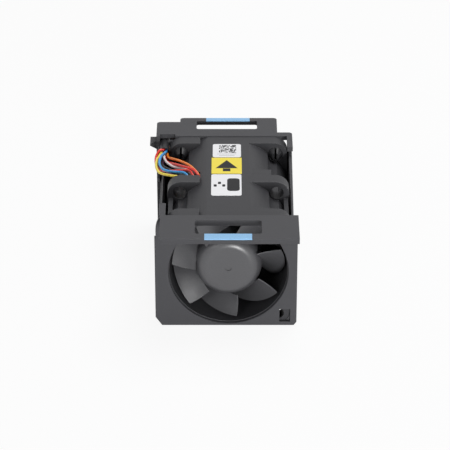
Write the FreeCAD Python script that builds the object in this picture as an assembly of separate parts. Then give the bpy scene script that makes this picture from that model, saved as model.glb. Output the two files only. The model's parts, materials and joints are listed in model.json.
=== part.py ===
import FreeCAD, Part
import math
import os

from FreeCAD import Vector

# Hot-plug server fan module: two 40 mm axial fans bolted end to end in a carrier with a finger
# hood at each end.  X runs across the module, +Y with the air from inlet to outlet, +Z up.
# The origin is under the fan axis, at the inlet face of the front panel, on the resting plane.

# ---- fans -----------------------------------------------------------------------------------
FAN_SIZE = 40.0            # square of the fan flanges
FAN_LENGTH = 28.0          # each of the two fans
FLANGE_T = 5.0
FLANGE_CORNER_R = 4.5
TUBE_BORE_R = FAN_SIZE / 2 - 0.9  # air passage
TUBE_R = FAN_SIZE / 2 + 1.1    # outside of the tube, cut flat by the square
HOLE_SPACING = FAN_SIZE - 8.0  # mounting holes, centre to centre
HOLE_R = 2.15
HOLE_ROOM_R = 2.75          # hollow in the tube behind each hole
EXIT_NOTCH_X0 = -9.5       # notch in the top of each flange, where the leads leave the tube
WEB_T = 1.4                # side webs that join the two flanges of the front fan
WEB_INSET = 0.4
WEB_HEIGHT = 28.0
JOINT_TAB_W = 28.2         # raised tab where the rear fan locks on the front one
JOINT_TAB_L = 4.3
JOINT_TAB_INSET = 0.5
BASE_T = 2.0               # motor base disc
BASE_R = 10.2
VANE_COUNT = 4
VANE_T = 0.9
VANE_DEPTH = 5.0
VANE_LEAN_DEG = 28.0
VANE_START_DEG = 60.0
EXIT_SETBACK = 0.9         # lead window in the rear fan's tube, behind the joint
EXIT_L = 3.4
EXIT_X0 = -14.6
EXIT_X1 = -8.0

# ---- motors ---------------------------------------------------------------------------------
HUB_R = 10.9
HUB_WALL = 0.6
HUB_NOSE_SETBACK = 1.2     # hub nose behind the flange face
HUB_EDGE_R = 4.0
HUB_FACE_T = 1.0
HUB_LENGTH = 19.6
NOSE_DIMPLE_R = 1.0
NOSE_DIMPLE_DEPTH = 0.3
TIP_GAP = 0.8
YOKE_T = 0.5
COLLAR_R = 2.6
COLLAR_L = 2.6
MAGNET_T = 0.9
MAGNET_L = 11.0
SHAFT_R = 1.5
SHAFT_GAP = 0.03
CLIP_T = 0.4
CLIP_R = 2.4
CLIP_SLOT_W = 1.6
CLIP_GROOVE = 0.4
SHAFT_TAIL = 0.8           # shaft beyond its clip
RUN_GAP = 0.2              # axial running gap beside the bearings
BEARING_R = 3.5
BEARING_L = 3.0
BEARING_LIP = 0.35         # raised inner and outer rings round the shield
BEARING_TUBE_WALL = 0.9
WASHER_T = 0.3
AIR_GAP = 0.35
CORE_L = 9.0
CORE_ARM_W = 2.4
CORE_RING_T = 1.2
CORE_SHOE_T = 0.9
CORE_SHOE_DEG = 66.0
POLE_COUNT = 4
CORE_SETBACK = 3.7         # core behind the front bearing's face
BEARING_SPAN = 17.2        # over both bearings
COIL_T = 1.1
COIL_GAP = 0.1
COIL_ROUND = 0.8            # share of the winding's thickness that its corners round
POLE_START_DEG = 45.0
BOARD_T = 0.8
BOARD_EDGE = 0.5

# ---- blades ---------------------------------------------------------------------------------
FRONT_BLADES = 7
REAR_BLADES = 5
FRONT_BLADE_START_DEG = 18.6   # leading edge tip of the first blade, seen from the inlet
REAR_BLADE_START_DEG = 40.0
BLADE_LEAD_SETBACK = 0.2       # leading edge behind the hub nose
BLADE_DEPTH = 17.0             # along the axis
BLADE_WRAP_DEG = 58.0          # turn of the blade from leading to trailing edge
BLADE_SWEEP_DEG = 7.5          # the root leads the tip by this much
BLADE_T = 0.9
BLADE_EDGE_T = 0.35
BLADE_CAMBER_DEG = 6.0         # extra turn in the first half of the blade

# ---- carrier --------------------------------------------------------------------------------
PANEL_T = 1.2
PANEL_BORE_R = TUBE_BORE_R + 0.25
HOOD_TOP_Z = FAN_SIZE + 0.25
HOOD_T = 2.0
REAR_HOOD_T = 1.6
FRONT_PANEL_X0 = -FAN_SIZE / 2 - 3.7
FRONT_PANEL_X1 = FAN_SIZE / 2 + 2.2
SHOULDER_Z = FAN_SIZE - 7.25   # the left edge of the front panel steps in above this height
SHOULDER_STEP = 0.4
SHOULDER_ROUND_Z = FAN_SIZE - 4.5
CHAMFER_LEFT = (2.1, 3.1)      # across and up
CHAMFER_RIGHT = (0.9, 1.2)
WINDOW_X0 = FAN_SIZE / 2 - 3.4  # inspection window over the fan's lower corner hole
WINDOW_X1 = FAN_SIZE / 2 + 0.1
WINDOW_Z0 = 1.3
WINDOW_Z1 = 6.0
FRONT_HOOD_X0 = -FAN_SIZE / 2 - 1.8
FRONT_HOOD_X1 = FAN_SIZE / 2 + 2.3
FRONT_HOOD_REACH = 14.2        # overhang in front of the panel
FRONT_SLOT_X0 = -10.65
FRONT_SLOT_X1 = 10.5
FRONT_BAR_W = 3.4              # finger bar at the hood's free edge
FRONT_SLOT_W = 8.65
SLOT_R = 0.8
EDGE_R = 0.3                   # moulded edge rounding
CORNER_R = 1.2
PAD_T = 0.35                   # touch strip let into the finger bar
PAD_X0 = -7.6
PAD_X1 = 7.4
PAD_LAP = 0.45                 # how far the strip turns down over the bar's edge

REAR_PANEL_X0 = -FAN_SIZE / 2 - 3.5
REAR_PANEL_X1 = FAN_SIZE / 2 + 1.7
REAR_TAB_X0 = -FAN_SIZE / 2 + 3.5
REAR_TAB_X1 = FAN_SIZE / 2 - 3.3
REAR_TAB_REACH = 13.8          # hood behind the fan's outlet face
LEFT_SHOULDER_X = -FAN_SIZE / 2 - 4.45
LEFT_SHOULDER_REACH = 10.7
RIGHT_SHOULDER_X = FAN_SIZE / 2 + 1.75
RIGHT_SHOULDER_REACH = 2.7
REAR_SLOT_X0 = -10.85
REAR_SLOT_X1 = 9.9
REAR_SLOT_W = 6.3
REAR_BAR_W = 2.2
ARM_X0 = FAN_SIZE / 2 - 0.1    # strip of the hood that runs forward beside the fan
ARM_REACH = 8.4
GAP_X0 = FAN_SIZE / 2 - 1.1    # clear corner beside the fan's rounded flange
GAP_Z0 = FAN_SIZE - 7.6
CABLE_NOTCH_X1 = -FAN_SIZE / 2 + 2.0
CABLE_NOTCH_DEPTH = 1.4
CABLE_NOTCH_Z0 = FAN_SIZE - 5.6

LEFT_WALL_FOOT_X = -FAN_SIZE / 2 - 3.3
LEFT_WALL_TOP_X = -FAN_SIZE / 2 - 1.9
LEFT_WALL_INNER_X = -FAN_SIZE / 2 - 1.4
LEFT_WALL_TOP_Z = FAN_SIZE - 6.25
LEFT_WALL_SLOPE_Z = FAN_SIZE - 18.0  # the outer face leans in above this height
GUSSET_T = 0.7                 # thin web that rises outside the wall to the outlet panel
GUSSET_L = 9.7
GUSSET_Z1 = FAN_SIZE - 3.6
GUSSET_DEEP = 14.0
BLOCK_X1 = -FAN_SIZE / 2 - 0.15  # raised block behind the front hood
BLOCK_X0 = -FAN_SIZE / 2 - 2.2
BLOCK_REACH = 9.3
BLOCK_Z0 = FAN_SIZE - 12.0
RIGHT_WALL_T = 1.2
RIGHT_WALL_FRONT_X = FAN_SIZE / 2 + 1.0  # outer face; the wall toes in towards the inlet
RIGHT_WALL_REAR_X = FAN_SIZE / 2 + 1.65
RIGHT_WALL_TOP_Z = FAN_SIZE - 5.75
RIGHT_WALL_REAR_Z = FAN_SIZE - 3.0
RAIL_W = 2.4                   # rail in the foot of the right wall, under the flanges' corners
RAIL_TALL = 3.4
FAN_GAP = 0.1                  # between the fans and the rail

# ---- latch wing, connector, pins ------------------------------------------------------------
WING_X = -FAN_SIZE / 2 - 6.7
WING_ROOT_Y = 0.3              # wing's root behind the fan's outlet face
WING_SWEEP = 1.2
WING_L = 7.1
WING_TOP_Z = FAN_SIZE - 3.75
WING_TIP_T = 2.9
WING_ROOT_T = 4.2
SKIRT_T = 1.2
POCKET_X1 = -FAN_SIZE / 2 + 3.1  # socket housing below the left shoulder
POCKET_Z1 = 12.0
SOCKET_X = 5.8                 # width of the lead duct behind the outlet panel
SOCKET_GAP = 0.1
SOCKET_Z1 = 10.5
CONTACT_PITCH = 1.25
CONTACT_ROW_COUNT = 4
CONTACT_COLUMN_COUNT = 2
CONTACT_SIDE = 0.5
CONTACT_TALL = 6.0
CAVITY_SIDE = 0.9
CAVITY_DEEP = 7.0
PIN_GAP = 0.1
PIN_HEAD_R = 2.6
PIN_HEAD_T = 1.0
PIN_BARB_R = 2.5
PIN_BARB_L = 2.2
PIN_SLOT_W = 0.7

# ---- labels ---------------------------------------------------------------------------------
LABEL_T = 0.1
# Each label: left and right edge, front and rear edge, corner radius.
LABELS = {"rear_label": (-5.2, 4.25, 41.75, 51.4, 0.8), "middle_label": (-5.55, 4.45, 29.95, 41.4, 0.15),
          "front_label": (-5.6, 4.3, 14.75, 29.5, 0.8)}

# ---- leads ----------------------------------------------------------------------------------
LEAD_R = 0.42
LEAD_GAP = 0.05
LEAD_DROP_R = 1.8              # bend where a lead turns down to the socket
DROP_CORNERS = 2               # last corners of a lead, which have that bend
LEAD_DROP_L = 2.0              # straight stretch above the socket
ARC_SHARE = 0.45               # share of the shorter run that an arc may take
SLEEVE_WALL = 0.2
SLEEVE_FLARE = 0.45
SLEEVE_MOUTH_L = 1.3
SLEEVE_X = -FAN_SIZE / 2 - 1.63
SLEEVE_Z = FAN_SIZE - 3.25
SLEEVE_L = 7.6
SLEEVE_REACH = 1.4             # sleeve behind the fan's outlet face
LEAD_START_GAP = 0.8           # first end beside the motor base
LEAD_EXIT_GAP = 0.3
LEAD_ROW_Y = (1.55, 2.8)       # rows behind the joint between the fans
# Each lead leaves the motor base at an angle round the axis, in the near or the far row, and comes
# out of the window in the tube.
LEAD_EXITS = {"yellow": (131.0, 0), "blue": (126.5, 0), "red": (122.0, 0), "second_red": (117.5, 0),
              "purple": (131.0, 1), "black": (126.5, 1), "white": (122.0, 1), "orange": (117.5, 1)}
# From there its corners go round to the mouth of the sleeve, measured from the upper left corner of
# the joint between the fans.
LEAD_ROUTES = {
    "yellow": [(4.0, 2.7, -2.1), (0.4, 4.1, -2.3), (-3.1, 7.0, -3.0), (-4.3, 12.4, -3.2),
               (-4.0, 17.6, -3.3), (-2.9, 20.0, -2.7)],
    "blue": [(5.8, 4.0, -1.1), (1.4, 5.5, -1.7), (-1.9, 8.4, -2.5), (-3.3, 13.2, -2.7),
             (-2.7, 17.8, -2.1), (-1.3, 20.4, -2.2)],
    "red": [(7.4, 4.7, -0.6), (2.4, 6.8, -2.0), (-0.8, 9.2, -3.4), (-3.3, 12.2, -4.5),
            (-4.4, 16.2, -4.7), (-4.5, 19.7, -3.4), (-3.2, 21.1, -1.5), (-1.7, 21.8, -2.0)],
    "second_red": [(8.4, 4.4, 0.0), (5.1, 7.3, -0.7), (1.8, 11.6, -1.9), (0.0, 15.2, -3.4),
                   (-0.9, 18.2, -4.4), (-1.2, 20.4, -4.2)],
    "purple": [(4.6, 4.6, -3.1), (2.0, 7.2, -4.2), (-0.6, 11.2, -4.8), (-1.9, 15.2, -4.8),
               (-2.1, 18.8, -4.3)],
    "black": [(5.4, 5.9, -2.1), (1.8, 8.9, -3.2), (-1.2, 12.0, -3.6), (-2.7, 15.6, -3.9),
              (-2.8, 19.2, -3.7)],
    "white": [(6.2, 7.2, -1.6), (1.6, 10.6, -2.6), (-0.7, 14.4, -2.8), (-1.7, 18.2, -3.1)],
    "orange": [(7.2, 7.6, -0.3), (3.6, 12.4, -1.1), (1.0, 16.0, -2.2), (-0.3, 19.0, -3.4)],
}
# Place of each lead: round the bundle (degrees from +X, None in its middle), then contact row and column.
LEAD_PLACES = {"red": (90, 3, 1), "yellow": (141, 3, 0), "black": (193, 1, 0), "purple": (244, 0, 0),
               "second_red": (296, 0, 1), "orange": (347, 1, 1), "blue": (39, 2, 1), "white": (None, 2, 0)}

# ---- derived places -------------------------------------------------------------------------
AXIS_Z = FAN_SIZE / 2
HOOD_Z = HOOD_TOP_Z - HOOD_T
REAR_HOOD_Z = HOOD_TOP_Z - REAR_HOOD_T
FAN_Y0 = PANEL_T
FAN_Y1 = FAN_Y0 + FAN_LENGTH
FAN_Y2 = FAN_Y1 + FAN_LENGTH
REAR_Y = FAN_Y2 + PANEL_T
SLEEVE_Y1 = FAN_Y2 + SLEEVE_REACH
SLEEVE_Y0 = SLEEVE_Y1 - SLEEVE_L
TIP_R = TUBE_BORE_R - TIP_GAP
YOKE_R = HUB_R - HUB_WALL
MAGNET_R = YOKE_R - YOKE_T
CORE_R = MAGNET_R - MAGNET_T - AIR_GAP
BEARING_TUBE_R = BEARING_R + BEARING_TUBE_WALL
ALONG = Vector(0, 1, 0)
UP = Vector(0, 0, 1)


# ---- shapes ---------------------------------------------------------------------------------
def box(x0, x1, y0, y1, z0, z1):
    return Part.makeBox(x1 - x0, y1 - y0, z1 - z0, Vector(x0, y0, z0))


def rod(radius, y0, y1, x=0.0, z=AXIS_Z):
    return Part.makeCylinder(radius, y1 - y0, Vector(x, y0, z), ALONG)


def ring(outer, inner, y0, y1):
    return rod(outer, y0, y1).cut(rod(inner, y0, y1))


def polygon(points):
    return Part.Face(Part.makePolygon(points + points[:1]))


def spun(points):
    """Revolve a (radius, y) outline about the fan axis; a third value marks an arc's mid point."""
    edges = []
    start = Vector(points[0][0], points[0][1], AXIS_Z)
    middle = None
    for radius, y, *mark in points[1:] + points[:1]:
        here = Vector(radius, y, AXIS_Z)
        if mark:
            middle = here
            continue
        if middle is None:
            edges.append(Part.LineSegment(start, here).toShape())
        else:
            edges.append(Part.Arc(start, middle, here).toShape())
        start = here
        middle = None
    face = Part.Face(Part.Wire(edges))
    return face.revolve(Vector(0, 0, AXIS_Z), ALONG, 360)


def turned(shape, degrees):
    """Turn a copy about the fan axis, from +X towards +Z."""
    copy = shape.copy()
    copy.rotate(Vector(0, 0, AXIS_Z), Vector(0, -1, 0), degrees)
    return copy


def rounded(shape, radius, chosen):
    """Round the edges for which chosen(edge) is true."""
    edges = [edge for edge in shape.Edges if chosen(edge)]
    return shape.makeFillet(radius, edges)


def runs_along(edge, axis):
    """True for a straight edge parallel to the axis."""
    if not isinstance(edge.Curve, Part.Line):
        return False
    return abs(abs(edge.Curve.Direction.dot(axis)) - 1) < 1e-6


def hole_places():
    half = HOLE_SPACING / 2
    return [(x, AXIS_Z + z) for x in (-half, half) for z in (-half, half)]


def in_module(shape, rear):
    """Put a fan piece, drawn from its open face inwards, in its place in the module."""
    if rear:
        placed = shape.mirror(Vector(0, 0, 0), ALONG)
        placed.translate(Vector(0, FAN_Y2, 0))
    else:
        placed = shape.copy()
        placed.translate(Vector(0, FAN_Y0, 0))
    return placed


# ---- fan housing ----------------------------------------------------------------------------
NOSE_Y = HUB_NOSE_SETBACK
HUB_END = NOSE_Y + HUB_LENGTH
YOKE_Y = NOSE_Y + HUB_FACE_T
COLLAR_Y = YOKE_Y + YOKE_T
WASHER_Y = COLLAR_Y + COLLAR_L
BEARING_Y = WASHER_Y + WASHER_T + RUN_GAP
BEARING_END = BEARING_Y + BEARING_SPAN
CLIP_Y = BEARING_END + RUN_GAP
BASE_Y = FAN_LENGTH - BASE_T
CORE_Y = BEARING_Y + CORE_SETBACK


def flange(y0):
    """Square flange with rounded corners, four holes and the notch for the leads."""
    half = FAN_SIZE / 2
    plate = box(-half, half, y0, y0 + FLANGE_T, AXIS_Z - half, AXIS_Z + half)
    plate = rounded(plate, FLANGE_CORNER_R, lambda edge: runs_along(edge, ALONG))
    for x, z in hole_places():
        plate = plate.cut(rod(HOLE_R, y0, y0 + FLANGE_T, x, z))
    notch = box(EXIT_NOTCH_X0, 0, y0, y0 + FLANGE_T, AXIS_Z, AXIS_Z + half)
    return plate.cut(notch)


def tube():
    """Round tube, cut flat by the sides of the square and hollowed behind the corner holes."""
    half = FAN_SIZE / 2
    square = box(-half, half, 0, FAN_LENGTH, AXIS_Z - half, AXIS_Z + half)
    rooms = [rod(HOLE_ROOM_R, 0, FAN_LENGTH, x, z) for x, z in hole_places()]
    return rod(TUBE_R, 0, FAN_LENGTH).common(square).cut(rooms)


def joint_tabs():
    """Flat tabs, above and below, where the rear fan locks on the front one; clear of the leads."""
    top = FAN_SIZE / 2 - JOINT_TAB_INSET
    y1 = FAN_LENGTH - JOINT_TAB_INSET
    y0 = y1 - JOINT_TAB_L
    tabs = box(-JOINT_TAB_W / 2, JOINT_TAB_W / 2, y0, y1, AXIS_Z - top, AXIS_Z + top)
    return tabs.cut(box(-JOINT_TAB_W / 2, EXIT_X1, y0, y1, AXIS_Z, AXIS_Z + top))


def side_webs():
    webs = []
    outer = FAN_SIZE / 2 - WEB_INSET
    for side in (-1, 1):
        x0 = min(side * outer, side * (outer - WEB_T))
        webs.append(box(x0, x0 + WEB_T, 0, FAN_LENGTH, AXIS_Z - WEB_HEIGHT / 2, AXIS_Z + WEB_HEIGHT / 2))
    return webs


def stator_vane(angle):
    """One leaning vane that carries the motor base and straightens the air."""
    vane = box(BASE_R - BOARD_EDGE / 2, TUBE_BORE_R + VANE_T / 2, -VANE_DEPTH / 2, VANE_DEPTH / 2,
               -VANE_T / 2, VANE_T / 2)
    vane.rotate(Vector(0, 0, 0), Vector(1, 0, 0), VANE_LEAN_DEG)
    vane.translate(Vector(0, FAN_LENGTH - VANE_DEPTH / 2 - VANE_T / 4, AXIS_Z))
    return turned(vane, angle)


def motor_base():
    """Base disc with the tube that holds both bearings, a land between them."""
    base = rod(BASE_R, BASE_Y, FAN_LENGTH)
    tube = rod(BEARING_TUBE_R, BEARING_Y, BASE_Y)
    land = rod(BEARING_R - BEARING_LIP, BEARING_Y, BASE_Y)
    front_seat = rod(BEARING_R, BEARING_Y, BEARING_Y + BEARING_L)
    rear_seat = rod(BEARING_R, BEARING_END - BEARING_L, BASE_Y)
    return base.fuse(tube).cut(land.fuse([front_seat, rear_seat]))


def fan_housing(rear):
    pieces = [flange(0)]
    if rear:
        pieces.append(joint_tabs())
    else:
        pieces.append(flange(FAN_LENGTH - FLANGE_T))
        pieces.extend(side_webs())
    shell = tube().fuse(pieces).cut(rod(TUBE_BORE_R, 0, FAN_LENGTH))
    vanes = [stator_vane(VANE_START_DEG + index * 360 / VANE_COUNT) for index in range(VANE_COUNT)]
    housing = shell.fuse([motor_base()] + vanes).removeSplitter()
    if rear:
        housing = housing.cut(lead_exit())
    return in_module(housing, rear)


def lead_exit():
    """Window in the rear fan's tube, just behind the flange's ear, where the leads come out."""
    y1 = FAN_LENGTH - EXIT_SETBACK
    return box(EXIT_X0, EXIT_X1, y1 - EXIT_L, y1, AXIS_Z + TUBE_BORE_R / 2, FAN_SIZE)


# ---- motor ----------------------------------------------------------------------------------
def plug(radius, corner, y0, y1):
    """Round solid with a rounded front edge."""
    slant = corner * math.sqrt(0.5)
    return spun([(0, y0), (radius - corner, y0), (radius - corner + slant, y0 + corner - slant, "arc"),
                 (radius, y0 + corner), (radius, y1), (0, y1)])


def cup(radius, corner, y0, y1, wall, face):
    """Round cup with a rounded edge, open at y1."""
    return plug(radius, corner, y0, y1).cut(plug(radius - wall, corner - wall, y0 + face, y1))


def blade_section(x):
    """Thin cambered outline of the blade at a distance x from the axis."""
    inward = (TIP_R - x) / (TIP_R - HUB_R)
    lead = BLADE_WRAP_DEG / 2 + BLADE_SWEEP_DEG * inward
    middle = -BLADE_CAMBER_DEG + BLADE_SWEEP_DEG * inward / 2
    trail = -BLADE_WRAP_DEG / 2
    y0 = NOSE_Y + BLADE_LEAD_SETBACK
    upper = []
    lower = []
    stations = ((lead, 0.0, BLADE_EDGE_T), (middle, 0.5, BLADE_T), (trail, 1.0, BLADE_EDGE_T))
    for angle, along, thick in stations:
        across = x * math.tan(math.radians(angle))
        y = y0 + BLADE_DEPTH * along
        slope = math.atan2(BLADE_DEPTH, 2 * x * math.tan(math.radians(BLADE_WRAP_DEG / 2)))
        shift = Vector(0, math.cos(slope), math.sin(slope)) * (thick / 2)
        point = Vector(x, y, AXIS_Z + across)
        upper.append(point + shift)
        lower.append(point - shift)
    return Part.Wire([Part.Arc(*upper).toShape(),
                      Part.LineSegment(upper[2], lower[2]).toShape(),
                      Part.Arc(*lower[::-1]).toShape(),
                      Part.LineSegment(lower[0], upper[0]).toShape()])


def blade(angle):
    inner = HUB_R * math.cos(math.radians(BLADE_WRAP_DEG / 2 + BLADE_SWEEP_DEG)) - HUB_WALL
    places = (inner, (inner + TIP_R) / 2, TIP_R + HUB_WALL)
    body = Part.makeLoft([blade_section(x) for x in places], True)
    span = ring(TIP_R, HUB_R - HUB_WALL / 2, 0, FAN_LENGTH)
    return turned(body.common(span), angle - BLADE_WRAP_DEG / 2)


def impeller(rear):
    """Moulded hub and blades in one piece."""
    hub = plug(HUB_R, HUB_EDGE_R, NOSE_Y, HUB_END)
    hub = hub.cut(rod(NOSE_DIMPLE_R, NOSE_Y, NOSE_Y + NOSE_DIMPLE_DEPTH))
    motor_space = plug(YOKE_R, HUB_EDGE_R - HUB_WALL, NOSE_Y + HUB_FACE_T, FAN_LENGTH)
    count = REAR_BLADES if rear else FRONT_BLADES
    start = REAR_BLADE_START_DEG if rear else FRONT_BLADE_START_DEG
    blades = [blade(start + index * 360 / count) for index in range(count)]
    return in_module(hub.fuse(blades).cut(motor_space), rear)


def yoke(rear):
    """Drawn steel cup pressed in the hub, with the collar that grips the shaft."""
    shell = cup(YOKE_R, HUB_EDGE_R - HUB_WALL, YOKE_Y, HUB_END - YOKE_T, YOKE_T, YOKE_T)
    return in_module(shell.fuse(ring(COLLAR_R, SHAFT_R, COLLAR_Y, WASHER_Y)), rear)


def magnet(rear):
    middle = CORE_Y + CORE_L / 2
    return in_module(ring(MAGNET_R, MAGNET_R - MAGNET_T, middle - MAGNET_L / 2, middle + MAGNET_L / 2), rear)


def shaft(rear):
    """Ground pin with the groove for its retaining clip."""
    groove = ring(SHAFT_R, SHAFT_R - CLIP_GROOVE, CLIP_Y, CLIP_Y + CLIP_T)
    return in_module(rod(SHAFT_R, COLLAR_Y, CLIP_Y + CLIP_T + SHAFT_TAIL).cut(groove), rear)


def clip(rear):
    """Open retaining clip in the shaft's groove."""
    washer = ring(CLIP_R, SHAFT_R - CLIP_GROOVE, CLIP_Y, CLIP_Y + CLIP_T)
    mouth = box(0, CLIP_R, CLIP_Y, CLIP_Y + CLIP_T, AXIS_Z - CLIP_SLOT_W / 2, AXIS_Z + CLIP_SLOT_W / 2)
    return in_module(washer.cut(mouth), rear)


def washer(rear):
    """Thin spacer on the shaft between the collar and the front bearing."""
    return in_module(ring((COLLAR_R + SHAFT_R) / 2, SHAFT_R, WASHER_Y, WASHER_Y + WASHER_T), rear)


def bearing(y0):
    """Shielded ball bearing: rings stand a little proud of the shields."""
    y1 = y0 + BEARING_L
    bore = SHAFT_R + SHAFT_GAP
    lip = BEARING_LIP
    return spun([(bore, y0), (bore + lip, y0), (bore + lip, y0 + lip / 2), (BEARING_R - lip, y0 + lip / 2),
                 (BEARING_R - lip, y0), (BEARING_R, y0), (BEARING_R, y1), (BEARING_R - lip, y1),
                 (BEARING_R - lip, y1 - lip / 2), (bore + lip, y1 - lip / 2), (bore + lip, y1), (bore, y1)])


def bearings(rear):
    pair = [bearing(BEARING_Y), bearing(BEARING_END - BEARING_L)]
    return in_module(Part.makeCompound(pair), rear)


def stator_core(rear):
    """Laminated core with wide pole shoes."""
    core = ring(BEARING_TUBE_R + CORE_RING_T, BEARING_TUBE_R, CORE_Y, CORE_Y + CORE_L)
    half = math.radians(CORE_SHOE_DEG / 2)
    reach = CORE_R / math.cos(half)
    wedge = polygon([Vector(0, CORE_Y, AXIS_Z),
                     Vector(reach, CORE_Y, AXIS_Z - reach * math.tan(half)),
                     Vector(reach, CORE_Y, AXIS_Z + reach * math.tan(half))])
    shoe = ring(CORE_R, CORE_R - CORE_SHOE_T, CORE_Y, CORE_Y + CORE_L).common(wedge.extrude(ALONG * CORE_L))
    arm = box(BEARING_TUBE_R + CORE_RING_T / 2, CORE_R - CORE_SHOE_T / 2, CORE_Y, CORE_Y + CORE_L,
              AXIS_Z - CORE_ARM_W / 2, AXIS_Z + CORE_ARM_W / 2)
    pole = arm.fuse(shoe)
    poles = [turned(pole, POLE_START_DEG + index * 360 / POLE_COUNT) for index in range(POLE_COUNT)]
    return in_module(core.fuse(poles), rear)


def coils(rear):
    """One winding round each pole."""
    x0 = BEARING_TUBE_R + CORE_RING_T + COIL_GAP
    x1 = CORE_R - CORE_SHOE_T - COIL_GAP - COIL_T / 2
    half = CORE_ARM_W / 2
    outer = half + COIL_T
    body = box(x0, x1, CORE_Y - COIL_T, CORE_Y + CORE_L + COIL_T, AXIS_Z - outer, AXIS_Z + outer)
    body = rounded(body, COIL_T * COIL_ROUND, lambda edge: runs_along(edge, Vector(1, 0, 0)))
    body = body.cut(box(x0, x1, CORE_Y, CORE_Y + CORE_L, AXIS_Z - half, AXIS_Z + half))
    windings = [turned(body, POLE_START_DEG + index * 360 / POLE_COUNT) for index in range(POLE_COUNT)]
    return in_module(Part.makeCompound(windings), rear)


def board(rear):
    """Round circuit board that lies on the motor base."""
    return in_module(ring(BASE_R - BOARD_EDGE, BEARING_TUBE_R, BASE_Y - BOARD_T, BASE_Y), rear)


# ---- carrier --------------------------------------------------------------------------------
def touch_strip(x0, x1, edge_y, bar, outward):
    """Strip that covers the finger bar and laps down over its free edge."""
    inner = edge_y - outward * bar
    face = edge_y - outward * PAD_T
    top = box(x0, x1, min(inner, edge_y), max(inner, edge_y), HOOD_TOP_Z - PAD_T, HOOD_TOP_Z)
    lap = box(x0, x1, min(face, edge_y), max(face, edge_y), HOOD_TOP_Z - PAD_LAP, HOOD_TOP_Z)
    return top.fuse(lap).removeSplitter()


def front_strip():
    return touch_strip(PAD_X0, PAD_X1, -FRONT_HOOD_REACH, FRONT_BAR_W, -1)


def rear_strip():
    return touch_strip(PAD_X0, PAD_X1, FAN_Y2 + REAR_TAB_REACH, REAR_BAR_W, 1)


def slot(x0, x1, y0, y1):
    """Finger slot through a hood, with rounded corners."""
    cutter = box(x0, x1, y0, y1, HOOD_Z, HOOD_TOP_Z)
    return rounded(cutter, SLOT_R, lambda edge: runs_along(edge, UP))


def front_outline():
    """Front panel seen from the inlet, with its clipped and rounded corners."""
    left = FRONT_PANEL_X0
    right = FRONT_PANEL_X1
    step = left + SHOULDER_STEP
    corners = [(left + CHAMFER_LEFT[0], 0), (right - CHAMFER_RIGHT[0], 0), (right, CHAMFER_RIGHT[1]),
               (right, HOOD_TOP_Z), (FRONT_HOOD_X0, HOOD_TOP_Z)]
    points = [Vector(x, 0, z) for x, z in corners]
    bulge = Vector((step * 3 + FRONT_HOOD_X0) / 4, 0, (SHOULDER_ROUND_Z + HOOD_TOP_Z) / 2)
    foot = Vector(step, 0, SHOULDER_ROUND_Z)
    rest = [foot, Vector(step, 0, SHOULDER_Z), Vector(left, 0, SHOULDER_Z),
            Vector(left, 0, CHAMFER_LEFT[1]), points[0]]
    edges = list(Part.makePolygon(points).Edges)
    edges.append(Part.Arc(points[-1], bulge, foot).toShape())
    edges.extend(Part.makePolygon(rest).Edges)
    return Part.Face(Part.Wire(edges))


def front_panel():
    """Inlet panel and its finger hood, one moulding."""
    plate = front_outline().extrude(ALONG * PANEL_T)
    hood = box(FRONT_HOOD_X0, FRONT_HOOD_X1, -FRONT_HOOD_REACH, PANEL_T, HOOD_Z, HOOD_TOP_Z)
    hood = rounded(hood, EDGE_R, lambda edge: hood_rim(edge, -FRONT_HOOD_REACH))
    panel = plate.fuse(hood)
    slot_y0 = FRONT_BAR_W - FRONT_HOOD_REACH
    panel = panel.cut(slot(FRONT_SLOT_X0, FRONT_SLOT_X1, slot_y0, slot_y0 + FRONT_SLOT_W))
    panel = panel.cut(inlet_bore())
    panel = panel.cut(box(WINDOW_X0, WINDOW_X1, 0, PANEL_T, WINDOW_Z0, WINDOW_Z1))
    return panel.cut(front_strip()).removeSplitter()


def inlet_bore():
    """Opening with a small lead-in round its outer edge."""
    lead = EDGE_R
    return spun([(0, 0), (PANEL_BORE_R + lead, 0), (PANEL_BORE_R + lead * 0.3, lead * 0.3, "arc"),
                 (PANEL_BORE_R, lead), (PANEL_BORE_R, PANEL_T), (0, PANEL_T)])


def hood_rim(edge, y):
    """The outer edges of a hood along its free side y, and up its corners."""
    box_ = edge.BoundBox
    along_rim = abs(box_.YMin - y) < 1e-6 and abs(box_.YMax - y) < 1e-6
    return along_rim and box_.XLength + box_.ZLength > HOOD_T / 2


def rear_outline():
    """Rear hood seen from above: centre tab, two shoulders and the arm beside the fan."""
    y0 = FAN_Y2
    corners = [(LEFT_SHOULDER_X, y0), (LEFT_SHOULDER_X, y0 + LEFT_SHOULDER_REACH),
               (REAR_TAB_X0, y0 + LEFT_SHOULDER_REACH), (REAR_TAB_X0, y0 + REAR_TAB_REACH),
               (REAR_TAB_X1, y0 + REAR_TAB_REACH), (REAR_TAB_X1, y0 + RIGHT_SHOULDER_REACH),
               (RIGHT_SHOULDER_X, y0 + RIGHT_SHOULDER_REACH), (RIGHT_SHOULDER_X, y0 - ARM_REACH),
               (ARM_X0, y0 - ARM_REACH), (ARM_X0, y0)]
    return polygon([Vector(x, y, REAR_HOOD_Z) for x, y in corners])


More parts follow.
